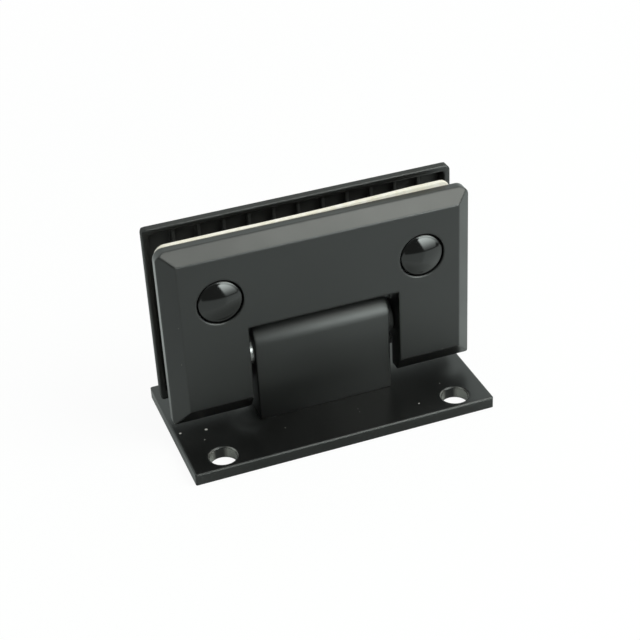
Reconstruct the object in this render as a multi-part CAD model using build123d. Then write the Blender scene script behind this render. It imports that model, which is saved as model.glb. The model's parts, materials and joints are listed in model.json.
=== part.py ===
from build123d import *
import math
import os

# Wall to glass door hinge: a bevelled clamp grips the glass and turns a quarter turn each way on a
# pin through an upright knuckle. Spring plungers under the pin press on its flats and centre it.
# Sizes are in millimetres. The origin is the centre of the wall plate's underside, X runs along the
# pin, the front of the hinge is -Y and Z is up, away from the wall.

# Wall plate
plate_width = 89.4
plate_depth = 46.2
plate_thickness = 3.5
plate_corner_radius = 0.5
plate_edge_chamfer = 0.2
wall_hole_end_inset = 9.7
wall_hole_side_inset = 5.5
wall_hole_diameter = 7.8
wall_hole_rim_diameter = 8.4

# Knuckle and pivot
pivot_height = 24.7
knuckle_width = 40.1
knuckle_depth = 12.2
knuckle_edge_chamfer = 0.3
side_gap = 2.12
pin_diameter = 6.0
pin_end_chamfer = 0.5
bush_outer_diameter = 8.0
bush_length = 7.0
flange_diameter = 9.8
flange_edge_chamfer = 0.2

# Self-centring detents
detent_spacing = 13.0
pin_flat_depth = 0.4
plunger_diameter = 5.4
plunger_length = 6.0
plunger_nose_chamfer = 0.5
spigot_diameter = 2.4
spigot_length = 2.5
spring_wire_diameter = 0.8
spring_pitch = 1.2
tension_screw_step = 0.6
tension_screw_length = 4.5
tension_screw_recess = 0.5
tension_screw_socket = 3.0

# Screws that hold the knuckle to the wall plate
knuckle_screw_inset = 4.6
knuckle_screw_diameter = 5.0
knuckle_screw_head_diameter = 9.0
knuckle_screw_head_height = 2.0
knuckle_screw_length = 13.5
knuckle_screw_socket = 3.0

# Clamp plates
clamp_width = 90.0
clamp_height = 54.9
clamp_drop = 16.4
front_corner_radius = 3.0
back_corner_radius = 1.6
front_rim_thickness = 2.5
back_rim_thickness = 2.1
bevel_depth = 3.7
top_bevel = 3.4
side_bevel = 4.4
bottom_bevel = 5.3
cut_out_rise = 11.7
leg_corner_radius = 1.0
front_face_offset = 2.27
glass_thickness = 8.0
back_plate_rise = 0.7
pocket_rim = 1.7
pocket_depth = 3.5
pocket_corner_radius = 1.0
rib_pitch = 7.2
rib_width = 0.9
rib_height = 2.0

# Pad between the front plate and the glass, which sits nearer the left end and is turned a little
gasket_thickness = 1.4
gasket_end_inset = 2.4
gasket_offset = 1.4
gasket_corner_radius = 3.2
gasket_tilt = 0.85
gasket_slip = 0.65

# Lugs that carry the pin, and their set screws
lug_back_gap = 1.08
lug_length = 9.5
pin_end_recess = 0.6
set_screw_diameter = 4.0
set_screw_recess = 0.35
set_screw_socket = 2.0
set_screw_chamfer = 0.4

# Clamp screws, sleeves and caps
clamp_screw_inset = 15.7
clamp_screw_rise = 21.8
clamp_screw_diameter = 5.0
clamp_screw_engagement = 4.45
clamp_screw_socket = 4.0
clamp_screw_head_chamfer = 0.4
boss_diameter = 10.0
sleeve_wall = 2.0
cap_diameter = 12.8
cap_rise = 1.0
cap_wall = 0.9
cap_edge_depth = 0.3
counterbore_depth = 4.4

# Fits and clearances
running_fit = 0.05
spring_side_gap = 0.1
flange_play = 0.37
pin_flat_margin = 0.5
head_side_gap = 0.65
head_top_gap = 0.55
thread_fit = 0.05
seat_gap = 0.05
cap_gap = 0.25
pin_bore_relief = 0.3
screw_float = 0.15
gasket_clearance = 1.0
glass_play = 0.37
hole_end_depth = 0.5
screw_end_chamfer = 0.5
socket_depth_share = 0.6

# Places that follow from the sizes above
HEX_CORNER_RATIO = 2 / math.sqrt(3)
SPRING_STRAIGHTS_PER_TURN = 12
SPRING_WIRE_SIDES = 8
SIDES = {"left": -1, "right": 1}
wall_hole_spacing_x = plate_width - 2 * wall_hole_end_inset
wall_hole_spacing_y = plate_depth - 2 * wall_hole_side_inset
knuckle_half = knuckle_width / 2
knuckle_screw_x = knuckle_half - knuckle_screw_inset
cut_out_half = knuckle_half + side_gap
clamp_bottom = pivot_height - clamp_drop
front_plate_thickness = front_rim_thickness + bevel_depth
front_inner_y = -front_face_offset
back_inner_y = front_inner_y + gasket_thickness + glass_thickness + glass_play
counterbore_floor_y = front_inner_y - front_plate_thickness + counterbore_depth
cap_centre_z = pivot_height + clamp_screw_rise
clamp_screw_x = clamp_width / 2 - clamp_screw_inset
clamp_screw_z = cap_centre_z + back_plate_rise
clamp_screw_length = back_inner_y - counterbore_floor_y + clamp_screw_engagement
head_diameter = cap_diameter - 2 * (cap_wall + back_plate_rise + head_side_gap)
head_height = counterbore_depth - cap_edge_depth - cap_wall - head_top_gap
pin_radius = pin_diameter / 2
flange_thickness = side_gap - flange_play
plunger_top_z = pivot_height - pin_radius - running_fit
plunger_seat_z = plunger_top_z - plunger_length
tension_screw_diameter = plunger_diameter + tension_screw_step
tension_screw_base_z = plate_thickness + tension_screw_recess
tension_screw_top_z = tension_screw_base_z + tension_screw_length
spring_base_z = tension_screw_top_z + seat_gap
spring_length = plunger_seat_z - seat_gap - spring_base_z
lug_radius = back_inner_y - lug_back_gap
lug_end = cut_out_half + lug_length
set_screw_x = cut_out_half + lug_length / 2
set_screw_length = lug_radius - set_screw_recess - pin_radius - seat_gap


def facing_front(x, y, z):
    """Place a shape built along +Z so that it points out of the front, along -Y."""
    return Location((x, y, z), (90, 0, 0))


def facing_back(x, y, z):
    """Place a shape built along +Z so that it points out of the back, along +Y."""
    return Location((x, y, z), (-90, 0, 0))


def along_x(x, y, z):
    """Place a shape built along +Z so that it points along +X."""
    return Location((x, y, z), (0, 90, 0))


def rod(radius, length):
    """A plain cylinder that stands on the XY plane."""
    return Cylinder(radius, length, align=(Align.CENTER, Align.CENTER, Align.MIN))


def cone(bottom_radius, top_radius, length):
    """A plain cone frustum that stands on the XY plane."""
    return Cone(bottom_radius, top_radius, length, align=(Align.CENTER, Align.CENTER, Align.MIN))


def hex_socket(across_flats, depth):
    """The cutter for a hexagon socket that opens at z = 0 and runs up."""
    return extrude(RegularPolygon(across_flats * HEX_CORNER_RATIO / 2, 6), depth)


def make_wall_plate():
    plate = extrude(RectangleRounded(plate_width, plate_depth, plate_corner_radius), plate_thickness)
    plate = chamfer(plate.faces().sort_by(Axis.Z)[-1].edges(), plate_edge_chamfer)
    sink_depth = (wall_hole_rim_diameter - wall_hole_diameter) / 2
    hole = rod(wall_hole_diameter / 2, plate_thickness)
    hole += Pos(0, 0, plate_thickness - sink_depth) * cone(
        wall_hole_diameter / 2, wall_hole_rim_diameter / 2, sink_depth
    )
    for place in GridLocations(wall_hole_spacing_x, wall_hole_spacing_y, 2, 2):
        plate -= place * hole
    for side in SIDES.values():
        plate -= Pos(side * knuckle_screw_x, 0, 0) * knuckle_screw_form(screw_float)
    return plate


def knuckle_screw_form(gap):
    """The outline of a countersunk screw that enters from z = 0 and runs up, grown by gap."""
    head = cone(knuckle_screw_head_diameter / 2 + gap, knuckle_screw_diameter / 2 + gap,
                knuckle_screw_head_height)
    return head + rod(knuckle_screw_diameter / 2 + gap, knuckle_screw_length + gap)


def make_knuckle_screw(side):
    screw = knuckle_screw_form(0)
    screw = chamfer(screw.faces().sort_by(Axis.Z)[-1].edges(), screw_end_chamfer)
    screw -= hex_socket(knuckle_screw_socket, knuckle_screw_head_height)
    return Pos(side * knuckle_screw_x, 0, seat_gap) * screw


def make_knuckle():
    height = pivot_height - plate_thickness
    profile = Pos(0, -height / 2) * Rectangle(knuckle_depth, height) + Circle(knuckle_depth / 2)
    block = extrude(Plane.YZ.offset(-knuckle_half) * profile, knuckle_width)
    end_edges = block.edges().filter_by(Plane.YZ)
    bottom_edges = block.faces().sort_by(Axis.Z)[0].edges()
    block = chamfer([edge for edge in end_edges if edge not in bottom_edges], knuckle_edge_chamfer)
    block = Pos(0, 0, pivot_height) * block
    block -= along_x(-knuckle_half, 0, pivot_height) * rod(pin_radius + pin_bore_relief, knuckle_width)
    for side in SIDES.values():
        start = side * knuckle_half - (bush_length if side > 0 else 0)
        block -= along_x(start, 0, pivot_height) * rod(bush_outer_diameter / 2 + seat_gap, bush_length)
        block -= Pos(side * knuckle_screw_x, 0, plate_thickness) * rod(
            knuckle_screw_diameter / 2 + thread_fit, knuckle_screw_length - plate_thickness + hole_end_depth
        )
        block -= Pos(side * detent_spacing / 2, 0, plate_thickness) * rod(
            plunger_diameter / 2 + running_fit, height
        )
        block -= Pos(side * detent_spacing / 2, 0, plate_thickness) * rod(
            tension_screw_diameter / 2 + thread_fit, tension_screw_top_z - plate_thickness
        )
    return block


def make_flange_bush(side):
    """A nylon bush in the knuckle's end, with a flange that keeps the clamp's leg off the knuckle."""
    bush = rod(bush_outer_diameter / 2, bush_length - seat_gap)
    bush += Pos(0, 0, -flange_thickness) * rod(flange_diameter / 2, flange_thickness)
    bush = chamfer(bush.faces().sort_by(Axis.Z)[0].edges(), flange_edge_chamfer)
    bush -= Pos(0, 0, -flange_thickness) * rod(pin_radius + running_fit, bush_length + flange_thickness)
    return Location((side * (knuckle_half + seat_gap), 0, pivot_height), (0, -90 * side, 0)) * bush


def make_pin():
    half = lug_end - pin_end_recess
    pin = along_x(-half, 0, 0) * rod(pin_radius, 2 * half)
    pin = chamfer(pin.edges().filter_by(GeomType.CIRCLE), pin_end_chamfer)
    across = pin_diameter - 2 * pin_flat_depth
    zone = plunger_diameter + 2 * pin_flat_margin
    around = Box(zone, 2 * pin_diameter, 2 * pin_diameter) - Box(zone, across, across)
    for side in SIDES.values():
        pin -= Pos(side * detent_spacing / 2, 0, 0) * around
    return Pos(0, 0, pivot_height) * pin


def make_plunger(side):
    """A round plunger whose flat nose presses on the pin, with a spigot that centres the spring."""
    plunger = Pos(0, 0, plunger_seat_z) * rod(plunger_diameter / 2, plunger_length)
    plunger = chamfer(plunger.faces().sort_by(Axis.Z)[-1].edges(), plunger_nose_chamfer)
    plunger += Pos(0, 0, plunger_seat_z - spigot_length) * rod(spigot_diameter / 2, spigot_length)
    return Pos(side * detent_spacing / 2, 0, 0) * plunger


def make_spring(side):
    """A coil spring between the plunger's shoulder and the tension screw, its wire in short straights."""
    coil_radius = (plunger_diameter - spring_wire_diameter) / 2 - spring_side_gap
    rise = spring_length - spring_wire_diameter
    steps = math.floor(rise / spring_pitch) * SPRING_STRAIGHTS_PER_TURN
    corners = []
    for step in range(steps + 1):
        angle = math.radians(360 * step / SPRING_STRAIGHTS_PER_TURN)
        corners.append((coil_radius * math.cos(angle), coil_radius * math.sin(angle), rise * step / steps))
    coil = Polyline(*corners)
    section = RegularPolygon(spring_wire_diameter / 2, SPRING_WIRE_SIDES)
    wire = sweep(Plane(coil @ 0, z_dir=coil % 0) * section, coil, transition=Transition.RIGHT)
    return Pos(side * detent_spacing / 2, 0, spring_base_z + spring_wire_diameter / 2) * wire


def make_tension_screw(side):
    """A headless plug that carries the spring from below."""
    screw = rod(tension_screw_diameter / 2, tension_screw_length)
    screw = chamfer(screw.edges().filter_by(GeomType.CIRCLE), screw_end_chamfer)
    screw -= hex_socket(tension_screw_socket, tension_screw_length * socket_depth_share)
    return Pos(side * detent_spacing / 2, 0, tension_screw_base_z) * screw


def clamp_blank(rim_thickness, top_corner_radius):
    """The bevelled half shell of a clamp plate, with its inner face on z = 0 and its cut-out made.

    Local x is the hinge's X and local y is height above the plate's bottom edge. The bevels meet in
    sharp mitres, and the plate's corners are then rounded straight through them.
    """
    thickness = rim_thickness + bevel_depth
    foot = Pos(0, clamp_height / 2) * Rectangle(clamp_width, clamp_height)
    face_height = clamp_height - top_bevel - bottom_bevel
    face = Pos(0, bottom_bevel + face_height / 2) * Rectangle(clamp_width - 2 * side_bevel, face_height)
    blank = extrude(foot, rim_thickness)
    blank += loft([Pos(0, 0, rim_thickness) * foot, Pos(0, 0, thickness) * face], ruled=True)
    outline = fillet(foot.vertices().group_by(Axis.Y)[-1], top_corner_radius)
    outline = fillet(outline.vertices().group_by(Axis.Y)[0], leg_corner_radius)
    blank &= extrude(outline, thickness)
    cut_out_height = clamp_drop + cut_out_rise
    cutter = Pos(0, cut_out_height / 2) * Rectangle(2 * cut_out_half, cut_out_height)
    for side in SIDES.values():
        corner = Pos(side * (cut_out_half + leg_corner_radius / 2), leg_corner_radius / 2)
        cutter += corner * Rectangle(leg_corner_radius, leg_corner_radius)
        centre = Pos(side * (cut_out_half + leg_corner_radius), leg_corner_radius)
        cutter -= centre * Circle(leg_corner_radius)
    return blank - extrude(cutter, thickness)


def make_front_plate():
    blank = clamp_blank(front_rim_thickness, front_corner_radius)
    plate = facing_front(0, front_inner_y, clamp_bottom) * blank
    lug_profile = Circle(lug_radius) + Pos(-front_face_offset / 2, 0) * Rectangle(
        front_face_offset, 2 * lug_radius
    )
    lug_front = Pos(-front_face_offset, 0) * Rectangle(
        2 * lug_radius, 2 * lug_radius, align=(Align.MAX, Align.CENTER)
    )
    lug_profile -= lug_front
    for side in SIDES.values():
        start = cut_out_half if side > 0 else -lug_end
        plate += extrude(Plane.YZ.offset(start) * lug_profile, lug_length).moved(Pos(0, 0, pivot_height))
        plate -= along_x(start, 0, pivot_height) * rod(pin_radius + thread_fit, lug_length)
        plate -= facing_back(side * set_screw_x, 0, pivot_height) * rod(
            set_screw_diameter / 2 + thread_fit, lug_radius
        )
        place_x = side * clamp_screw_x
        plate -= facing_front(place_x, counterbore_floor_y, cap_centre_z) * rod(
            cap_diameter / 2 + cap_gap, counterbore_depth
        )
        plate -= facing_front(place_x, front_inner_y, cap_centre_z) * rod(
            clamp_screw_diameter / 2 + back_plate_rise + screw_float, front_plate_thickness
        )
    return plate


def make_back_plate():
    """The rear half: a shell whose pocketed, ribbed side faces the glass."""
    blank = clamp_blank(back_rim_thickness, back_corner_radius)
    cut_out_height = clamp_drop + cut_out_rise
    pocket = Pos(0, clamp_height / 2) * RectangleRounded(
        clamp_width - 2 * pocket_rim, clamp_height - 2 * pocket_rim, pocket_corner_radius
    )
    pocket -= Rectangle(
        2 * (cut_out_half + pocket_rim), cut_out_height + pocket_rim, align=(Align.CENTER, Align.MIN)
    )
    bosses = Sketch()
    for side in SIDES.values():
        centre = Pos(side * clamp_screw_x, clamp_drop + clamp_screw_rise)
        bosses += centre * Circle(boss_diameter / 2)
    ribs = Sketch()
    rib_count = 2 * math.floor((clamp_width / 2 - pocket_rim - rib_width) / rib_pitch) + 1
    for place in GridLocations(rib_pitch, 0, rib_count, 1):
        ribs += place * Pos(0, clamp_height / 2) * Rectangle(rib_width, clamp_height)
    plate = blank - extrude(pocket - bosses, pocket_depth)
    rib_floor = Pos(0, 0, pocket_depth - rib_height)
    plate += extrude(rib_floor * ((ribs & pocket) - bosses), rib_height)
    reach = clamp_screw_length - (back_inner_y - counterbore_floor_y)
    for side in SIDES.values():
        plate -= Pos(side * clamp_screw_x, clamp_drop + clamp_screw_rise) * rod(
            clamp_screw_diameter / 2 + thread_fit, reach + hole_end_depth
        )
    plate = mirror(plate, Plane.XY)
    return facing_front(0, back_inner_y, clamp_bottom + back_plate_rise) * plate


def make_gasket():
    """The soft pad behind the front plate, notched round the knuckle, the lugs and the sleeves."""
    width = clamp_width - 2 * gasket_end_inset
    pad = Pos(-gasket_offset, clamp_height / 2) * RectangleRounded(
        width, clamp_height, gasket_corner_radius
    )
    notch_height = clamp_drop + cut_out_rise + gasket_clearance
    pad -= Rectangle(2 * (cut_out_half + gasket_clearance), notch_height, align=(Align.CENTER, Align.MIN))
    pad -= Pos(0, clamp_drop) * Rectangle(
        2 * (lug_end + gasket_clearance), 2 * (lug_radius + gasket_clearance + gasket_slip)
    )
    sleeve_radius = clamp_screw_diameter / 2 + screw_float + sleeve_wall
    for side in SIDES.values():
        pad -= Pos(side * clamp_screw_x, clamp_drop + clamp_screw_rise) * Circle(
            sleeve_radius + gasket_clearance + gasket_slip
        )
    pad = extrude(pad, gasket_thickness - 2 * seat_gap)
    pad = facing_back(0, 0, 0) * mirror(pad, Plane.XZ)
    pad = Rotation(0, -gasket_tilt, 0) * Pos(0, 0, -clamp_height / 2) * pad
    height = clamp_bottom + clamp_height / 2 + gasket_slip
    return Pos(0, front_inner_y + seat_gap, height) * pad


def make_set_screw(side):
    """A headless screw in the back of a lug that holds the pin."""
    screw = rod(set_screw_diameter / 2, set_screw_length)
    screw = chamfer(screw.edges().filter_by(GeomType.CIRCLE), set_screw_chamfer)
    screw -= Pos(0, 0, set_screw_length * (1 - socket_depth_share)) * hex_socket(
        set_screw_socket, set_screw_length * socket_depth_share
    )
    return facing_back(side * set_screw_x, pin_radius + seat_gap, pivot_height) * screw


def make_clamp_screw(side):
    """A low-headed machine screw that runs from the front plate into the back plate's boss."""
    screw = rod(head_diameter / 2, head_height)
    rim = screw.faces().sort_by(Axis.Z)[-1].edges()
    screw = chamfer(rim, clamp_screw_head_chamfer)
    shank = mirror(rod(clamp_screw_diameter / 2, clamp_screw_length), Plane.XY)
    screw += chamfer(shank.faces().sort_by(Axis.Z)[0].edges(), screw_end_chamfer)
    socket_depth = head_height * socket_depth_share
    screw -= Pos(0, 0, head_height - socket_depth) * hex_socket(clamp_screw_socket, socket_depth)
    return facing_front(side * clamp_screw_x, counterbore_floor_y - seat_gap, clamp_screw_z) * screw


def make_spacer_sleeve(side):
    """A nylon sleeve that keeps the screw off the glass."""
    bore = clamp_screw_diameter / 2 + screw_float
    length = back_inner_y - front_inner_y - 2 * seat_gap
    sleeve = rod(bore + sleeve_wall, length) - rod(bore, length)
    return facing_back(side * clamp_screw_x, front_inner_y + seat_gap, clamp_screw_z) * sleeve


def make_screw_cap(side):
    """A domed cap, hollow behind, whose skirt stands on the counterbore's floor round the screw head."""
    radius = cap_diameter / 2
    edge = counterbore_depth - cap_edge_depth
    crown_height = cap_rise + cap_edge_depth
    crown_radius = (radius**2 + crown_height**2) / (2 * crown_height)
    top = edge + crown_height
    half = radius / 2
    half_height = top - crown_radius + math.sqrt(crown_radius**2 - half**2)
    outline = Line((0, seat_gap), (radius, seat_gap)) + Line((radius, seat_gap), (radius, edge))
    outline += ThreePointArc((radius, edge), (half, half_height), (0, top)) + Line((0, top), (0, seat_gap))
    cap = revolve(Plane.XZ * make_face(outline), Axis.Z)
    cap -= rod(radius - cap_wall, edge - cap_wall)
    return facing_front(side * clamp_screw_x, counterbore_floor_y, cap_centre_z) * cap


PAIRED = {
    "knuckle_screw": make_knuckle_screw,
    "flange_bush": make_flange_bush,
    "detent_plunger": make_plunger,
    "detent_spring": make_spring,
    "tension_screw": make_tension_screw,
    "pin_set_screw": make_set_screw,
    "clamp_screw": make_clamp_screw,
    "spacer_sleeve": make_spacer_sleeve,
    "screw_cap": make_screw_cap,
}

nodes = {
    "wall_plate": make_wall_plate(),
    "knuckle_block": make_knuckle(),
    "pivot_pin": make_pin(),
    "front_clamp_plate": make_front_plate(),
    "back_clamp_plate": make_back_plate(),
    "front_gasket": make_gasket(),
}
for piece, make in PAIRED.items():
    for side_name, side in SIDES.items():
        nodes[f"{side_name}_{piece}"] = make(side)

os.makedirs("parts", exist_ok=True)
for name, shape in nodes.items():
    export_step(shape, f"parts/{name}.step")
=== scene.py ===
import json
import math

import bmesh
import bpy
from mathutils import Matrix, Vector


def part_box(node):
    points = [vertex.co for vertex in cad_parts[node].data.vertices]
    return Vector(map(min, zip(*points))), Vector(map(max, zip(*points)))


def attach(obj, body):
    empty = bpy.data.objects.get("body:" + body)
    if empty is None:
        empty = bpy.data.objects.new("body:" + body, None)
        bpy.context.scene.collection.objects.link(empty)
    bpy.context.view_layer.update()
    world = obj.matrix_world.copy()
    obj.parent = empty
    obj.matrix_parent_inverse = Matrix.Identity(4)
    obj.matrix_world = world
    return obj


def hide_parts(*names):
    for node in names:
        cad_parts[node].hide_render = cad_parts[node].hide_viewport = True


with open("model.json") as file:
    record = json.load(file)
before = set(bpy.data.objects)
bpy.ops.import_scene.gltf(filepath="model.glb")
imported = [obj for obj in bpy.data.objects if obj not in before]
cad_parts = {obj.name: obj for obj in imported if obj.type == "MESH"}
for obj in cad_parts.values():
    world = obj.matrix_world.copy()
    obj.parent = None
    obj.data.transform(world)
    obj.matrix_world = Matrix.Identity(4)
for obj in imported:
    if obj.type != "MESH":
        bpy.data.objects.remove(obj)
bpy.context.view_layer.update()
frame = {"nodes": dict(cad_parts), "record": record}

MM = 0.001


# ---------------------------------------------------------------- camera

CAMERA_PLACE = Vector((-0.11971, -0.3508, 0.26258))
CAMERA_YAW = math.radians(19.04)
CAMERA_PITCH = math.radians(32.31)
CAMERA_ROLL = math.radians(-3.10)
CAMERA_LENS = 87.42


def make_camera():
    """A camera to the front left of the hinge, looking down on it."""
    level = math.cos(CAMERA_PITCH)
    ahead = Vector((math.sin(CAMERA_YAW) * level, math.cos(CAMERA_YAW) * level, -math.sin(CAMERA_PITCH)))
    right = Vector((math.cos(CAMERA_YAW), -math.sin(CAMERA_YAW), 0))
    up = right.cross(ahead)
    tilted_right = math.cos(CAMERA_ROLL) * right + math.sin(CAMERA_ROLL) * up
    tilted_up = -math.sin(CAMERA_ROLL) * right + math.cos(CAMERA_ROLL) * up
    data = bpy.data.cameras.new("camera")
    data.lens = CAMERA_LENS
    data.clip_start = 0.01
    data.clip_end = 20
    camera = bpy.data.objects.new("camera", data)
    bpy.context.scene.collection.objects.link(camera)
    turn = Matrix((tilted_right, tilted_up, -ahead)).transposed().to_4x4()
    camera.matrix_world = Matrix.Translation(CAMERA_PLACE) @ turn
    bpy.context.scene.camera = camera


# ---------------------------------------------------------------- node helpers

def tree_of(owner):
    """The emptied node tree of a material or world."""
    owner.use_nodes = True
    tree = owner.node_tree
    tree.nodes.clear()
    return tree


def add(tree, kind, values=None, **settings):
    """Add a node, set its properties, and set or link its inputs from values by name or number."""
    node = tree.nodes.new(kind)
    for key, value in settings.items():
        setattr(node, key, value)
    for key, value in (values or {}).items():
        if isinstance(value, bpy.types.NodeSocket):
            tree.links.new(value, node.inputs[key])
        else:
            node.inputs[key].default_value = value
    return node


def sums(tree, operation, first, second=0.0, third=0.0, clamp=False):
    """The result socket of a Math node."""
    return add(tree, "ShaderNodeMath", {0: first, 1: second, 2: third}, operation=operation,
               use_clamp=clamp).outputs[0]


def both(tree, first, second):
    """The product of two masks."""
    return sums(tree, "MULTIPLY", first, second)


def ramp(tree, value, low, high, start=0.0, end=1.0):
    """Turn a value between low and high smoothly into one between start and end."""
    return add(tree, "ShaderNodeMapRange", {
        "Value": value, "From Min": low, "From Max": high, "To Min": start, "To Max": end,
    }, interpolation_type="SMOOTHSTEP").outputs[0]


def blend_colours(tree, share, first, second):
    """The colour that lies share of the way from the first to the second."""
    return add(tree, "ShaderNodeMix", {0: share, 6: first, 7: second}, data_type="RGBA").outputs[2]


def noise(tree, place, scale, detail=2.0, rough=0.5):
    """The level of a noise whose grain is about 1 / scale metres."""
    return add(tree, "ShaderNodeTexNoise", {
        "Vector": place, "Scale": scale, "Detail": detail, "Roughness": rough,
    }).outputs[0]


def here(tree):
    """A place on the hinge, in metres, that stays with its piece when the piece moves."""
    return add(tree, "ShaderNodeTexCoord").outputs["Object"]


def axes_of(tree, vector):
    """The three numbers of a vector."""
    return add(tree, "ShaderNodeSeparateXYZ", {0: vector}).outputs


def facing(tree):
    """The way the surface faces, as three numbers that turn with its piece."""
    return axes_of(tree, add(tree, "ShaderNodeTexCoord").outputs["Normal"])


def away_from(tree, centre):
    """How far the place on the hinge is from a centre."""
    return add(tree, "ShaderNodeVectorMath", {0: here(tree), 1: centre},
               operation="DISTANCE").outputs["Value"]


def grey(level):
    """A neutral colour."""
    return (level, level, level, 1)


# ---------------------------------------------------------------- studio

COOL = (0.91, 1.0, 0.962, 1)
WARM = (0.975, 1.0, 0.925)
PAPER = (0.88, 0.95, 0.92, 1)

# What the finishes mirror. A height is the sine of the angle above the level, a depth is how far a
# direction points to the rear, and a turn is the angle from the front round to the right.
HORIZON, HORIZON_BLUR = -0.33, 0.03
SKY_HEIGHTS = (0.35, 0.75)
FRONT_DEPTHS = (-0.3, 0.2)
REAR_DEPTHS = (0.2, 0.6)
FRONT_DARK = 0.15
BACK_LEVEL = 1.1
FLOOR_SHINE = 1.05
FLOOR_LEVEL, FLOOR_EXTRA = 0.97 * FLOOR_SHINE, 0.32 * FLOOR_SHINE
EXTRA_START = (math.radians(20), math.radians(29))
EXTRA_END = (math.radians(62), math.radians(85))
PANEL_LEAN = math.radians(28)
PANEL_LEFT = (math.radians(13), math.radians(17))
PANEL_RIGHT = (math.radians(47), math.radians(52))
PANEL_FOOT = (HORIZON + 0.02, HORIZON + 0.05)
PANEL_HEAD = (0.25, 0.4)
PANEL_LOW, PANEL_HIGH = 1.0, 15.0
AIR_LEVEL = 0.55

FLOOR_SIZE = 8
FLOOR_DROP = 0.1 * MM
FLOOR_GLOW = 0.93
GLOW_REACH = (0.15, 0.5)
FLOOR_REACH = (0.064, 0.08)
# Near the hinge the floor's glow to glossy rays is dim: painted shade.
NEAR_REACH = (0.03, 0.08)
NEAR_SHADE_LEVELS = (0.2, 1.25 * FLOOR_SHINE)
NEAR_SHARE = 0.6

SOFTBOX_PLACE = (0.54, -0.47, 0.86)
SOFTBOX_TARGET = (0, 0, 0.03)
SOFTBOX_SIZE = (0.72, 0.85)
SOFTBOX_LEVEL = 5.0


def seen_plainly(tree, path):
    """A mask of the rays that come from the camera, straight or through something clear."""
    return sums(tree, "MAXIMUM", path.outputs["Is Camera Ray"], path.outputs["Is Transmission Ray"])


def mirrored_level(tree):
    """How bright a finish mirrors each direction: white floor, dark front, white rear and a panel."""
    way = add(tree, "ShaderNodeTexCoord").outputs["Generated"]
    across, depth, height = axes_of(tree, way)
    above = ramp(tree, height, HORIZON - HORIZON_BLUR, HORIZON + HORIZON_BLUR)
    low_sky = ramp(tree, height, *SKY_HEIGHTS, 1, 0)
    front = ramp(tree, depth, *FRONT_DEPTHS, 1, 0)
    dark = both(tree, both(tree, above, low_sky), front)
    turn = sums(tree, "ARCTAN2", across, sums(tree, "MULTIPLY", depth, -1.0))
    extra = both(tree, ramp(tree, turn, *EXTRA_START), ramp(tree, turn, *EXTRA_END, 1, 0))
    floor = sums(tree, "MULTIPLY_ADD", extra, FLOOR_EXTRA, FLOOR_LEVEL)
    rear = ramp(tree, depth, *REAR_DEPTHS)
    white = add(tree, "ShaderNodeMix", {0: rear, 2: floor, 3: BACK_LEVEL}).outputs[0]
    level = add(tree, "ShaderNodeMix", {0: dark, 2: white, 3: FRONT_DARK}).outputs[0]
    leaning = sums(tree, "MULTIPLY_ADD", height, PANEL_LEAN, turn)
    sides = both(tree, ramp(tree, leaning, *PANEL_LEFT), ramp(tree, turn, *PANEL_RIGHT, 1, 0))
    ends = both(tree, ramp(tree, height, *PANEL_FOOT), ramp(tree, height, *PANEL_HEAD, 1, 0))
    panel_level = ramp(tree, height, HORIZON, PANEL_HEAD[0], PANEL_LOW, PANEL_HIGH)
    return add(tree, "ShaderNodeMix", {0: both(tree, sides, ends), 2: level, 3: panel_level}).outputs[0]


def make_world():
    """White air for the camera, even soft light, and the mirrored studio for glossy rays."""
    world = bpy.data.worlds.new("studio_air")
    bpy.context.scene.world = world
    tree = tree_of(world)
    path = add(tree, "ShaderNodeLightPath")
    shine = add(tree, "ShaderNodeBackground", {"Color": COOL, "Strength": mirrored_level(tree)})
    air = add(tree, "ShaderNodeBackground", {"Color": grey(1.0), "Strength": AIR_LEVEL})
    white = add(tree, "ShaderNodeBackground", {"Color": grey(1.0), "Strength": 1.0})
    lit = add(tree, "ShaderNodeMixShader", {0: path.outputs["Is Glossy Ray"], 1: air.outputs[0],
                                            2: shine.outputs[0]})
    mixed = add(tree, "ShaderNodeMixShader", {0: seen_plainly(tree, path), 1: lit.outputs[0],
                                              2: white.outputs[0]})
    add(tree, "ShaderNodeOutputWorld", {"Surface": mixed.outputs[0]})
    world.cycles.sampling_method = "NONE"


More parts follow.
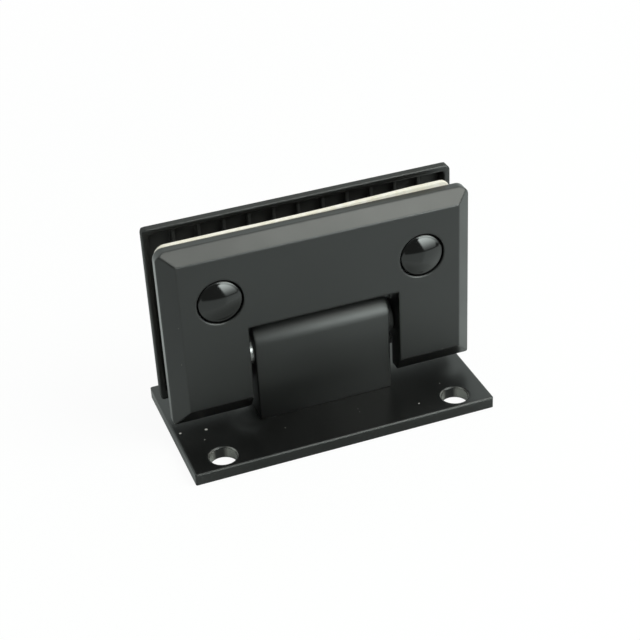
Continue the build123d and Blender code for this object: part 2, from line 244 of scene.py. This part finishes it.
def make_floor():
    """A white paper floor that glows to the camera, mirrored near the hinge only, where its glow to glossy
    rays dims towards the hinge as painted shade.
    """
    bpy.ops.mesh.primitive_plane_add(size=FLOOR_SIZE, location=(0, 0, -FLOOR_DROP))
    floor = bpy.context.object
    floor.name = "floor"
    material = bpy.data.materials.new("white_paper_floor")
    tree = tree_of(material)
    path = add(tree, "ShaderNodeLightPath")
    glossy = path.outputs["Is Glossy Ray"]
    distance = add(tree, "ShaderNodeVectorMath", {0: here(tree)}, operation="LENGTH").outputs["Value"]
    paper = add(tree, "ShaderNodeBsdfDiffuse", {"Color": PAPER})
    white = add(tree, "ShaderNodeEmission", {"Color": grey(1.0), "Strength": 1.0})
    glow_share = ramp(tree, distance, *GLOW_REACH, FLOOR_GLOW, 1.0)
    plain = add(tree, "ShaderNodeMixShader", {0: both(tree, seen_plainly(tree, path), glow_share),
                                              1: paper.outputs[0], 2: white.outputs[0]})
    # Painted shade: to glossy rays the floor glows dimly near the hinge and brightly further out.
    glow = add(tree, "ShaderNodeEmission", {
        "Color": COOL, "Strength": ramp(tree, distance, *NEAR_REACH, *NEAR_SHADE_LEVELS),
    })
    shiny = add(tree, "ShaderNodeMixShader", {0: NEAR_SHARE, 1: paper.outputs[0], 2: glow.outputs[0]})
    mixed = add(tree, "ShaderNodeMixShader", {0: glossy, 1: plain.outputs[0], 2: shiny.outputs[0]})
    clear = add(tree, "ShaderNodeBsdfTransparent")
    open_share = both(tree, ramp(tree, distance, *FLOOR_REACH), glossy)
    mixed = add(tree, "ShaderNodeMixShader", {0: open_share, 1: mixed.outputs[0], 2: clear.outputs[0]})
    add(tree, "ShaderNodeOutputMaterial", {"Surface": mixed.outputs[0]})
    floor.data.materials.append(material)


def make_softbox():
    """The soft panel lamp at the front right, whose level is how bright its face looks."""
    data = bpy.data.lights.new("front_right_softbox", "AREA")
    data.shape = "RECTANGLE"
    data.size, data.size_y = SOFTBOX_SIZE
    data.color = WARM
    data.energy = SOFTBOX_LEVEL * math.pi * SOFTBOX_SIZE[0] * SOFTBOX_SIZE[1]
    lamp = bpy.data.objects.new("front_right_softbox", data)
    bpy.context.scene.collection.objects.link(lamp)
    lamp.location = SOFTBOX_PLACE
    lamp.rotation_mode = "QUATERNION"
    aim = Vector(SOFTBOX_TARGET) - Vector(SOFTBOX_PLACE)
    lamp.rotation_quaternion = aim.to_track_quat("-Z", "Y")


# ---------------------------------------------------------------- shared effects

def new_group(name, inputs, outputs):
    """A shader node group with the named inputs and outputs, and its input and output sockets."""
    tree = bpy.data.node_groups.new(name, "ShaderNodeTree")
    for label, value in inputs:
        socket = tree.interface.new_socket(label, in_out="INPUT", socket_type="NodeSocketFloat")
        socket.default_value = value
    for label, kind in outputs:
        tree.interface.new_socket(label, in_out="OUTPUT", socket_type=kind)
    return tree, tree.nodes.new("NodeGroupInput").outputs, tree.nodes.new("NodeGroupOutput").inputs


def close_group(tree, sockets, results):
    """Link the results of a group to its output sockets."""
    for label, value in results.items():
        tree.links.new(value, sockets[label])
    return tree


EDGE_TURN = (0.02, 0.16)
RUB_SCALE = 900
RUB_PATCHES = (0.48, 0.66)


def make_edge_group():
    """Rounded edges, and a mask of where handling has rubbed them."""
    tree, given, out = new_group("edge_wear", [("Radius", 0.2 * MM), ("Wear", 0.5)],
                                 [("Rub", "NodeSocketFloat"), ("Normal", "NodeSocketVector")])
    soft = add(tree, "ShaderNodeBevel", {"Radius": given["Radius"]}, samples=6).outputs[0]
    plain = add(tree, "ShaderNodeNewGeometry").outputs["Normal"]
    agree = add(tree, "ShaderNodeVectorMath", {0: soft, 1: plain}, operation="DOT_PRODUCT").outputs["Value"]
    edge = ramp(tree, sums(tree, "SUBTRACT", 1.0, agree), *EDGE_TURN)
    patchy = ramp(tree, noise(tree, here(tree), RUB_SCALE, detail=4.0, rough=0.7), *RUB_PATCHES)
    rub = sums(tree, "MULTIPLY", both(tree, edge, patchy), given["Wear"], clamp=True)
    return close_group(tree, out, {"Rub": rub, "Normal": soft})


COARSE_SHARE, COARSE_WEIGHT = 0.28, 0.6
DRIFT_SHARE = 0.02


def make_grain_group():
    """The fine grain of a sprayed or moulded surface, and its slow drift in gloss."""
    tree, given, out = new_group("fine_grain", [("Scale", 2500.0)],
                                 [("Height", "NodeSocketFloat"), ("Drift", "NodeSocketFloat")])
    place = here(tree)
    fine = noise(tree, place, given["Scale"], detail=3.0, rough=0.6)
    coarse = noise(tree, place, sums(tree, "MULTIPLY", given["Scale"], COARSE_SHARE))
    height = sums(tree, "MULTIPLY_ADD", coarse, COARSE_WEIGHT, fine)
    slow = sums(tree, "MULTIPLY", given["Scale"], DRIFT_SHARE)
    drift = noise(tree, place, slow, detail=3.0, rough=0.6)
    return close_group(tree, out, {"Height": height, "Drift": drift})


DUST_SLOPE = (-0.2, 0.8)
DUST_ON_STEEP = 0.25


def make_dust_group():
    """Pale specks that have settled on whatever faces up, and a few on the rest."""
    tree, given, out = new_group("settled_dust", [("Spacing", 0.004), ("Size", 0.05), ("Share", 0.3)],
                                 [("Speck", "NodeSocketFloat")])
    scale = sums(tree, "DIVIDE", 1.0, given["Spacing"])
    cells = add(tree, "ShaderNodeTexVoronoi", {"Vector": here(tree), "Scale": scale})
    pick = add(tree, "ShaderNodeSeparateColor", {0: cells.outputs["Color"]})
    chosen = sums(tree, "LESS_THAN", pick.outputs[0], given["Share"])
    width = sums(tree, "MULTIPLY", pick.outputs[1], given["Size"])
    speck = sums(tree, "LESS_THAN", cells.outputs["Distance"], width)
    slope = axes_of(tree, add(tree, "ShaderNodeNewGeometry").outputs["Normal"])[2]
    up = ramp(tree, slope, *DUST_SLOPE, DUST_ON_STEEP, 1.0)
    return close_group(tree, out, {"Speck": both(tree, both(tree, speck, chosen), up)})


EDGE, GRAIN, DUST = make_edge_group(), make_grain_group(), make_dust_group()


def use(tree, group, **values):
    """Place a group in a material with this material's own values, and give its outputs."""
    node = tree.nodes.new("ShaderNodeGroup")
    node.node_tree = group
    for key, value in values.items():
        node.inputs[key].default_value = value
    return node.outputs


# ---------------------------------------------------------------- finishes

GRAIN_DEPTH = 0.01 * MM
DRIFT_SPAN = (0.3, 0.7)


def finish_of(name):
    """A new material and its emptied node tree."""
    material = bpy.data.materials.new(name)
    return material, tree_of(material)


def close_finish(tree, values):
    """End a finish with one Principled shader."""
    shader = add(tree, "ShaderNodeBsdfPrincipled", values)
    add(tree, "ShaderNodeOutputMaterial", {"Surface": shader.outputs[0]})


def drifting(tree, grain, smooth, dull):
    """A roughness that drifts over the surface between two values."""
    return ramp(tree, grain["Drift"], *DRIFT_SPAN, smooth, dull)


def bumped(tree, height, strength, distance, normal):
    """The normal with a fine height added to it."""
    return add(tree, "ShaderNodeBump", {
        "Height": height, "Strength": strength, "Distance": distance, "Normal": normal,
    }).outputs[0]


FLECK_GRAIN = 2500
FLECK_RAGGED = 0.4 * MM
FLECK_BRIGHT = 2.0
FLUFF = (0.6, 0.6, 0.57, 1)
SPECK_ROUGH = 0.9


def fleck_mask(tree, flecks):
    """A mask of single ragged flecks of fluff, each given by its place on the finish and its size."""
    mask = 0.0
    ragged = sums(tree, "MULTIPLY", noise(tree, here(tree), FLECK_GRAIN, rough=0.6), FLECK_RAGGED)
    for centre, size in flecks:
        reach = sums(tree, "ADD", away_from(tree, centre), ragged)
        near = sums(tree, "LESS_THAN", reach, size + FLECK_RAGGED / 2)
        mask = sums(tree, "MAXIMUM", mask, near)
    return mask


FACES_REAR = 0.1
FACES_UP = 0.9
GLINT_SIDES = (0.25, 0.65)


def hollow_mask(tree, start, end):
    """A mask of what lies between two depths and doesn't face the rear."""
    depth = axes_of(tree, here(tree))[1]
    between = both(tree, sums(tree, "GREATER_THAN", depth, start), sums(tree, "LESS_THAN", depth, end))
    return both(tree, between, sums(tree, "LESS_THAN", facing(tree)[1], FACES_REAR))


def hole_glint_mask(tree, holes):
    """A mask of the left and right sides of the holes, where the painted glints go, each given by its
    centre and its reach.
    """
    mask = 0.0
    for centre, reach in holes:
        near = sums(tree, "LESS_THAN", away_from(tree, centre), reach)
        mask = sums(tree, "MAXIMUM", mask, near)
    return both(tree, mask, ramp(tree, sums(tree, "ABSOLUTE", facing(tree)[0]), *GLINT_SIDES))


CREST_FADE = 9.0 * MM
CREST_DULL = 0.16
PLAIN_SHINE = 0.5
DULL_SHINE = -0.3
# Painted light: a lighter colour that lifts the shade in the back plate's pockets.
POCKET_PAINTED_LIGHT = (0.035, 0.036, 0.035, 1)
POCKET_PAINTED_LIGHT_SHARE, CASTING_ROUGH = 0.8, 0.35
# Painted glints: a bright metal colour on the left and right sides of the screw holes.
HOLE_GLINT_COLOUR = (0.26, 0.26, 0.245, 1)
HOLE_GLINT_METAL, HOLE_GLINT_SMOOTH = 0.8, -0.1
# A patch with less shine beside the knuckle: painted shade.
SHADE_PATCH_HEART = 0.4
SHADE_PATCH_SHINE, SHADE_PATCH_ROUGH = -0.32, 0.2


def make_satin_black(name, crest=None, inside=None, flecks=(), holes=(), shade_patch=None):
    """Satin black finish on cast plates: fine grain, edges rubbed a little, a few specks of dust.

    Up to the height of crest the finish grows duller. Between the two depths of inside, the casting
    is as rough as it left the mould and painted lighter, painted light that lifts the shade in the
    pockets, and its top rim is dull. The sides of the holes take a bright metal colour as painted
    glints, and a patch of painted shade, given by its place and its reach, takes the shine off.
    """
    material, tree = finish_of(name)
    edge = use(tree, EDGE, Radius=0.8 * MM, Wear=0.4)
    grain = use(tree, GRAIN, Scale=3000.0)
    specks = use(tree, DUST, Spacing=0.0035, Size=0.05, Share=0.25)["Speck"]
    if flecks:
        fluff = sums(tree, "MULTIPLY", fleck_mask(tree, flecks), FLECK_BRIGHT)
        specks = sums(tree, "MAXIMUM", specks, fluff)
    body = blend_colours(tree, grain["Drift"], (0.0025, 0.0025, 0.0025, 1), (0.0045, 0.0048, 0.0045, 1))
    body = blend_colours(tree, edge["Rub"], body, (0.04, 0.038, 0.034, 1))
    body = blend_colours(tree, specks, body, FLUFF)
    rough = drifting(tree, grain, 0.28, 0.34)
    if crest:
        height = axes_of(tree, here(tree))[2]
        rough = sums(tree, "ADD", rough, ramp(tree, height, crest - CREST_FADE, crest, 0, CREST_DULL))
    rough = sums(tree, "MAXIMUM", rough, sums(tree, "MULTIPLY", specks, SPECK_ROUGH), clamp=True)
    shine, metal = PLAIN_SHINE, 0.0
    if inside:
        hollow = hollow_mask(tree, *inside)
        # Painted light: the pockets are painted lighter to lift their shade, and made rough.
        body = blend_colours(tree, sums(tree, "MULTIPLY", hollow, POCKET_PAINTED_LIGHT_SHARE), body, POCKET_PAINTED_LIGHT)
        rough = sums(tree, "MULTIPLY_ADD", hollow, CASTING_ROUGH, rough)
        dull = sums(tree, "MAXIMUM", hollow, sums(tree, "GREATER_THAN", facing(tree)[2], FACES_UP))
        shine = sums(tree, "MULTIPLY_ADD", dull, DULL_SHINE, PLAIN_SHINE)
    if holes:
        # Painted glints on the holes' left and right sides.
        hole_glints = hole_glint_mask(tree, holes)
        body = blend_colours(tree, hole_glints, body, HOLE_GLINT_COLOUR)
        metal = sums(tree, "MULTIPLY", hole_glints, HOLE_GLINT_METAL)
        rough = sums(tree, "MULTIPLY_ADD", hole_glints, HOLE_GLINT_SMOOTH, rough)
    # Painted shade: the shine is taken off a patch beside the knuckle.
    if shade_patch:
        centre, reach = shade_patch
        shade_patch_mask = ramp(tree, away_from(tree, centre), SHADE_PATCH_HEART * reach, reach, 1, 0)
        shine = sums(tree, "MULTIPLY_ADD", shade_patch_mask, SHADE_PATCH_SHINE, PLAIN_SHINE)
        rough = sums(tree, "MULTIPLY_ADD", shade_patch_mask, SHADE_PATCH_ROUGH, rough)
    normal = bumped(tree, grain["Height"], 0.25, GRAIN_DEPTH, edge["Normal"])
    close_finish(tree, {"Base Color": body, "Roughness": rough, "IOR": 1.5, "Specular IOR Level": shine,
                        "Metallic": metal, "Normal": normal})
    return material


def make_gloss_black():
    """Polished black plated caps, with the faintest haze."""
    material, tree = finish_of("gloss_black")
    edge = use(tree, EDGE, Radius=0.1 * MM, Wear=0.3)
    grain = use(tree, GRAIN, Scale=1500.0)
    dust = use(tree, DUST, Spacing=0.0025, Size=0.03, Share=0.2)
    body = blend_colours(tree, grain["Drift"], (0.004, 0.004, 0.004, 1), (0.006, 0.006, 0.0058, 1))
    body = blend_colours(tree, dust["Speck"], body, (0.3, 0.3, 0.28, 1))
    rough = drifting(tree, grain, 0.05, 0.09)
    normal = bumped(tree, grain["Height"], 0.06, GRAIN_DEPTH, edge["Normal"])
    close_finish(tree, {"Base Color": body, "Roughness": rough, "IOR": 1.45, "Normal": normal})
    return material


MOTTLE_SCALE = 420
MOTTLE_SPAN = (0.35, 0.68)


def make_cream_gasket():
    """Cream rubber sheet with a fibrous, mottled face."""
    material, tree = finish_of("cream_gasket")
    grain = use(tree, GRAIN, Scale=1400.0)
    dust = use(tree, DUST, Spacing=0.0022, Size=0.12, Share=0.3)
    mottle = ramp(tree, noise(tree, here(tree), MOTTLE_SCALE, detail=4.0, rough=0.7), *MOTTLE_SPAN)
    body = blend_colours(tree, mottle, (0.76, 0.73, 0.62, 1), (0.85, 0.83, 0.77, 1))
    body = blend_colours(tree, dust["Speck"], body, (0.6, 0.57, 0.4, 1))
    rough = drifting(tree, grain, 0.62, 0.8)
    plain = add(tree, "ShaderNodeNewGeometry").outputs["Normal"]
    normal = bumped(tree, grain["Height"], 0.5, 6 * GRAIN_DEPTH, plain)
    close_finish(tree, {"Base Color": body, "Roughness": rough, "Normal": normal})
    return material


GREASED_IOR, RIGHT_BUSH_SHADE_IOR = 2.2, 1.45
# Painted shade on the right flange bush: a darker, duller, less shiny finish.
RIGHT_BUSH_SHADE = (0.01, 0.01, 0.009, 1)
RIGHT_BUSH_SHADE_SHARE, RIGHT_BUSH_SHADE_ROUGH = 0.7, 0.3
RIGHT_BUSH_FROM, RIGHT_BUSH_TO = 0.0, 24.0 * MM


def make_nylon():
    """Grey nylon with a greasy shine; the right flange bush is painted darker and duller, painted shade."""
    material, tree = finish_of("grey_nylon")
    edge = use(tree, EDGE, Radius=0.12 * MM, Wear=0.2)
    grain = use(tree, GRAIN, Scale=2200.0)
    body = blend_colours(tree, grain["Drift"], (0.07, 0.072, 0.07, 1), (0.11, 0.112, 0.108, 1))
    body = blend_colours(tree, edge["Rub"], body, (0.25, 0.25, 0.24, 1))
    across = axes_of(tree, here(tree))[0]
    # Painted shade: the nylon from the middle to the right leg is darkened and dulled.
    right_bush_shade = sums(tree, "COMPARE", across, (RIGHT_BUSH_FROM + RIGHT_BUSH_TO) / 2,
                 (RIGHT_BUSH_TO - RIGHT_BUSH_FROM) / 2)
    body = blend_colours(tree, sums(tree, "MULTIPLY", right_bush_shade, RIGHT_BUSH_SHADE_SHARE), body, RIGHT_BUSH_SHADE)
    rough = sums(tree, "MULTIPLY_ADD", right_bush_shade, RIGHT_BUSH_SHADE_ROUGH, drifting(tree, grain, 0.2, 0.3))
    normal = bumped(tree, grain["Height"], 0.3, 2 * GRAIN_DEPTH, edge["Normal"])
    close_finish(tree, {"Base Color": body, "Roughness": rough,
                        "IOR": sums(tree, "MULTIPLY_ADD", right_bush_shade, RIGHT_BUSH_SHADE_IOR - GREASED_IOR, GREASED_IOR),
                        "Coat Weight": sums(tree, "SUBTRACT", 1.0, right_bush_shade),
                        "Coat Roughness": 0.2, "Normal": normal})
    return material


LINE_WEIGHT = 0.7


def make_metal(name, dark, light, metallic, smooth, dull, line_scale):
    """A metal whose fine lines are as close along each axis as line_scale says."""
    material, tree = finish_of(name)
    edge = use(tree, EDGE, Radius=0.15 * MM, Wear=0.6)
    grain = use(tree, GRAIN, Scale=2600.0)
    stretched = add(tree, "ShaderNodeMapping", {"Vector": here(tree), "Scale": line_scale}).outputs[0]
    lines = noise(tree, stretched, 1.0, detail=3.0, rough=0.6)
    body = blend_colours(tree, lines, dark, light)
    body = blend_colours(tree, edge["Rub"], body, (0.6, 0.58, 0.54, 1))
    rough = drifting(tree, grain, smooth, dull)
    height = sums(tree, "MULTIPLY_ADD", lines, LINE_WEIGHT, grain["Height"])
    normal = bumped(tree, height, 0.25, GRAIN_DEPTH, edge["Normal"])
    close_finish(tree, {"Base Color": body, "Metallic": metallic, "Roughness": rough, "Normal": normal})
    return material


def make_finishes():
    """One finish for each material slot of the record."""
    return {
        "black_plate": make_satin_black("satin_black"),
        "black_cap": make_gloss_black(),
        "pad": make_cream_gasket(),
        "nylon": make_nylon(),
        "steel": make_metal("bright_steel", (0.42, 0.42, 0.41, 1), (0.6, 0.6, 0.59, 1), metallic=1.0,
                            smooth=0.22, dull=0.36, line_scale=(9000, 300, 300)),
        "black_steel": make_metal("blackened_steel", (0.02, 0.02, 0.021, 1), (0.05, 0.05, 0.05, 1),
                                  metallic=0.6, smooth=0.35, dull=0.5, line_scale=(300, 300, 9000)),
        "spring_steel": make_metal("spring_steel", (0.3, 0.3, 0.3, 1), (0.5, 0.5, 0.49, 1), metallic=1.0,
                                   smooth=0.25, dull=0.4, line_scale=(2000, 2000, 2000)),
    }


WALL_PLATE_FLECKS = (
    (-35.8 * MM, -4.0 * MM, 0.42 * MM), (-43.0 * MM, -2.8 * MM, 0.30 * MM),
    (-37.5 * MM, -8.5 * MM, 0.10 * MM), (-33.0 * MM, -14.2 * MM, 0.14 * MM),
    (7.0 * MM, -14.0 * MM, 0.12 * MM), (24.0 * MM, -17.2 * MM, 0.16 * MM),
    (-15.0 * MM, -12.5 * MM, 0.08 * MM), (33.5 * MM, -10.5 * MM, 0.10 * MM),
)
# Where the patch of painted shade lies beside the knuckle, and its reach.
SHADE_PATCH_X, SHADE_PATCH_Y, SHADE_PATCH_REACH = -22.5 * MM, -4.0 * MM, 7.5 * MM
HOLE_MARGIN = 0.7 * MM
# Depths of the pockets that are made rough and painted lighter as painted light.
POCKET_FROM, POCKET_TO = 0.05 * MM, 3.9 * MM


def make_wall_plate_finish():
    """Satin black with flecks of fluff, a patch of painted shade beside the knuckle and painted glints on
    the screw holes' sides.
    """
    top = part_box("wall_plate")[1].z
    flecks = [((x, y, top), size) for x, y, size in WALL_PLATE_FLECKS]
    mounts = frame["record"]["mounts"]
    screws = next(mount for mount in mounts if mount["name"] == "wall_screws")["dims"]
    half_x, half_y = screws["spacing_x_mm"] / 2 * MM, screws["spacing_y_mm"] / 2 * MM
    holes = [((x, y, top / 2), screws["hole_r_mm"] * MM + HOLE_MARGIN)
             for x in (-half_x, half_x) for y in (-half_y, half_y)]
    return make_satin_black("satin_black_dusty", flecks=flecks, holes=holes,
                            shade_patch=((SHADE_PATCH_X, SHADE_PATCH_Y, top), SHADE_PATCH_REACH))


def make_back_plate_finish():
    """Satin black outside; in the pockets rough casting, painted lighter as painted light that lifts their
    shade.
    """
    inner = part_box("back_clamp_plate")[0].y
    return make_satin_black("satin_black_rough_pockets_painted_light", inside=(inner + POCKET_FROM, inner + POCKET_TO))


# ---------------------------------------------------------------- pieces

def new_piece(name, mesh, body, slot, finish, *nodes):
    """A dressed piece that rides a body and takes the place of the nodes."""
    piece = bpy.data.objects.new(name, mesh)
    bpy.context.scene.collection.objects.link(piece)
    mesh.materials.append(finish)
    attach(piece, body)
    if nodes:
        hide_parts(*nodes)


def mesh_of(build, name, smooth_below=None):
    """The finished mesh, smooth across edges that turn less than the given angle in degrees."""
    mesh = bpy.data.meshes.new(name)
    build.to_mesh(mesh)
    build.free()
    if smooth_below:
        mesh.polygons.foreach_set("use_smooth", [True] * len(mesh.polygons))
        mesh.set_sharp_from_angle(angle=math.radians(smooth_below))
        mesh.update()
    return mesh


def fill_prism(build, first, second):
    """Close the solid between two rings of as many vertices."""
    build.faces.new(first)
    build.faces.new(reversed(second))
    for step in range(len(first)):
        after = (step + 1) % len(first)
        build.faces.new((first[after], first[step], second[step], second[after]))


def round_off(build, edges, radius):
    """Round edges in three steps."""
    bmesh.ops.bevel(build, geom=edges, offset=radius, offset_type="OFFSET", segments=3, profile=0.5,
                    affect="EDGES", clamp_overlap=True)


CAP_SEGMENTS = 96
CAP_CROWN_RISE = 1.3 * MM
CAP_EDGE_ROUND = 0.6 * MM
CAP_SLACK = 0.12 * MM
CAP_WALL = 0.9 * MM
CAP_CROWN_STEPS = 14
CAP_ROUND_STEPS = 5


def cap_outline(radius, height):
    """Radius and height of the points round half a section of a cap, from the crown's middle to inside."""
    edge = height - CAP_CROWN_RISE
    crown = (radius ** 2 + CAP_CROWN_RISE ** 2) / (2 * CAP_CROWN_RISE)
    points = []
    for step in range(CAP_CROWN_STEPS + 1):
        reach = (radius - CAP_EDGE_ROUND) * step / CAP_CROWN_STEPS
        points.append((reach, height - crown + math.sqrt(crown ** 2 - reach ** 2)))
    last = points[-1][1]
    for step in range(1, CAP_ROUND_STEPS + 1):
        angle = math.pi / 2 * step / CAP_ROUND_STEPS
        points.append((radius - CAP_EDGE_ROUND + CAP_EDGE_ROUND * math.sin(angle),
                       last - CAP_EDGE_ROUND + CAP_EDGE_ROUND * math.cos(angle)))
    points += [(radius, edge / 2), (radius, 0), (radius - CAP_WALL, 0),
               (radius - CAP_WALL, edge - CAP_WALL), (0, edge - CAP_WALL)]
    return points


def make_screw_cap(side, finish):
    """A domed screw cap turned from its section, hollow behind."""
    node = f"{side}_screw_cap"
    low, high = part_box(node)
    radius = (high.x - low.x) / 2 - CAP_SLACK
    centre = (low + high) / 2
    build = bmesh.new()
    rings = []
    for reach, height in cap_outline(radius, high.y - low.y):
        y = high.y - height
        if reach == 0:
            rings.append([build.verts.new((centre.x, y, centre.z))])
            continue
        ring = []
        for step in range(CAP_SEGMENTS):
            angle = 2 * math.pi * step / CAP_SEGMENTS
            ring.append(build.verts.new((centre.x + reach * math.cos(angle), y,
                                         centre.z + reach * math.sin(angle))))
        rings.append(ring)
    for inner, outer in zip(rings, rings[1:]):
        for step in range(CAP_SEGMENTS):
            after = (step + 1) % CAP_SEGMENTS
            if len(inner) == 1:
                build.faces.new((inner[0], outer[step], outer[after]))
            elif len(outer) == 1:
                build.faces.new((inner[step], outer[0], inner[after]))
            else:
                build.faces.new((inner[step], outer[step], outer[after], inner[after]))
    bmesh.ops.recalc_face_normals(build, faces=build.faces)
    name = f"{side}_domed_cap"
    new_piece(name, mesh_of(build, name, smooth_below=35), "clamp", "black_cap", finish, node)


KNUCKLE_CREST = 27.8 * MM
KNUCKLE_ROUND = 6.1 * MM
KNUCKLE_STEPS = 48
KNUCKLE_EDGE = 0.3 * MM


def make_knuckle():
    """The upright knuckle: straight sides that run up into a round crest."""
    node = "knuckle_block"
    low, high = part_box(node)
    build = bmesh.new()
    profile = [(high.y, low.z), (low.y, low.z)]
    for step in range(KNUCKLE_STEPS + 1):
        angle = math.pi * step / KNUCKLE_STEPS
        profile.append((-KNUCKLE_ROUND * math.cos(angle), KNUCKLE_CREST + KNUCKLE_ROUND * math.sin(angle)))
    fill_prism(build, [build.verts.new((low.x, y, z)) for y, z in profile],
               [build.verts.new((high.x, y, z)) for y, z in profile])
    bmesh.ops.recalc_face_normals(build, faces=build.faces)
    rims = [edge for edge in build.edges if edge.verts[0].co.x == edge.verts[1].co.x
            and max(vert.co.z for vert in edge.verts) > low.z + MM]
    round_off(build, rims, KNUCKLE_EDGE)
    finish = make_satin_black("satin_black_knuckle", crest=KNUCKLE_CREST)
    mesh = mesh_of(build, "round_knuckle", smooth_below=30)
    new_piece("round_knuckle", mesh, "wall_side", "black_plate", finish, node)


BACK_RIM = 2.1 * MM
BACK_BEVEL_DEPTH = 3.7 * MM
BACK_BOTTOM_BEVEL = 5.3 * MM
BACK_SIDE_BEVEL = 4.4 * MM
LEG_START = 22.2 * MM
LEG_ROUND = 1.0 * MM
LEG_OUTER_CUT = 0.4 * LEG_ROUND
LEG_INNER_CUT = 0.3 * LEG_ROUND
SKIN_THICKNESS = 0.23 * MM
SKIN_ROOT = 0.05 * MM
SKIN_MARGIN = 0.02 * MM


def make_bevel_skins(finish):
    """The back plate's bottom bevels, made whole where the pockets' feet and ribs break through."""
    low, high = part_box("back_clamp_plate")
    outline = ((LEG_START + LEG_ROUND, SKIN_MARGIN), (high.x - LEG_ROUND, SKIN_MARGIN),
               (high.x - LEG_OUTER_CUT, LEG_OUTER_CUT),
               (high.x - BACK_SIDE_BEVEL, BACK_BOTTOM_BEVEL - SKIN_MARGIN),
               (LEG_START, BACK_BOTTOM_BEVEL - SKIN_MARGIN), (LEG_START, LEG_ROUND),
               (LEG_START + LEG_INNER_CUT, LEG_INNER_CUT))
    build = bmesh.new()
    for side in (-1, 1):
        rings = []
        for skin in (SKIN_THICKNESS, -SKIN_ROOT):
            ring = []
            for x, rise in outline:
                bevel = BACK_RIM + BACK_BEVEL_DEPTH * rise / BACK_BOTTOM_BEVEL
                ring.append(build.verts.new((side * x, low.y + bevel + skin, low.z + rise)))
            rings.append(ring)
        fill_prism(build, *rings)
    bmesh.ops.recalc_face_normals(build, faces=build.faces)
    name = "bottom_bevel_skins"
    new_piece(name, mesh_of(build, name), "clamp", "black_plate", finish)


GASKET_GRID = 3.0 * MM
GASKET_ROUND = 0.28 * MM
GASKET_LIFT = 0.22 * MM
GASKET_RIPPLE = 0.05 * MM
GASKET_TOP = 0.8
GASKET_TOP_RIPPLE = 0.3 * GASKET_RIPPLE
GASKET_TOP_WAVES = 31
GASKET_WELD = 0.005 * MM
GASKET_FLAT_TURN = math.radians(1)
GASKET_RIM_TURN = math.radians(60)
CUT_SLACK = 0.001 * MM


def gasket_bow(across, rise):
    """The slow swell of the gasket's face, between -1 and 1, at shares of its width and height."""
    return math.sin(9.0 * across + 3.0 * rise) * math.sin(5.0 * rise - 4.0 * across)


def make_gasket(finish):
    """The soft gasket: edges rounded all round, its top edge wavy and its face not quite flat."""
    node = "front_gasket"
    low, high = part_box(node)
    build = bmesh.new()
    build.from_mesh(frame["nodes"][node].data)
    bmesh.ops.remove_doubles(build, verts=build.verts, dist=GASKET_WELD)
    bmesh.ops.dissolve_limit(build, angle_limit=GASKET_FLAT_TURN, verts=build.verts, edges=build.edges)
    rims = [edge for edge in build.edges if len(edge.link_faces) == 2
            and edge.calc_face_angle() > GASKET_RIM_TURN]
    round_off(build, rims, GASKET_ROUND)
    for axis, start, end in ((0, low.x, high.x), (2, low.z, high.z)):
        along = Vector((axis == 0, 0, axis == 2))
        count = int((end - start) / GASKET_GRID)
        for step in range(1, count + 1):
            place = along * (start + (end - start) * step / (count + 1))
            bmesh.ops.bisect_plane(build, geom=build.verts[:] + build.edges[:] + build.faces[:],
                                   dist=CUT_SLACK, plane_co=place, plane_no=along)
    for vert in build.verts:
        across = (vert.co.x - low.x) / (high.x - low.x)
        rise = (vert.co.z - low.z) / (high.z - low.z)
        top = max(0.0, (rise - GASKET_TOP) / (1 - GASKET_TOP)) ** 2
        lift = GASKET_LIFT * top * math.cos(2 * math.pi * across)
        lift += GASKET_TOP_RIPPLE * top * math.sin(GASKET_TOP_WAVES * across)
        vert.co.y += GASKET_RIPPLE * (0.5 + 0.5 * gasket_bow(across, rise))
        vert.co.z = min(vert.co.z + lift, high.z)
    mesh = mesh_of(build, "glass_gasket", smooth_below=50)
    new_piece("glass_gasket", mesh, "clamp", "pad", finish, node)


# ---------------------------------------------------------------- assembly

def dress_nodes(finishes, special):
    """Give every CAD node its own special finish or else the finish of its slot."""
    for part in frame["record"]["subparts"]:
        node = part["node"]
        materials = frame["nodes"][node].data.materials
        materials.clear()
        materials.append(special.get(node) or finishes[part["material_slot"]])


make_camera()
make_world()
make_floor()
make_softbox()
bpy.context.scene.view_settings.view_transform = "Standard"
finishes = make_finishes()
back_plate_finish = make_back_plate_finish()
dress_nodes(finishes, {"wall_plate": make_wall_plate_finish(), "back_clamp_plate": back_plate_finish})
for side in ("left", "right"):
    make_screw_cap(side, finishes["black_cap"])
make_gasket(finishes["pad"])
make_bevel_skins(back_plate_finish)
make_knuckle()
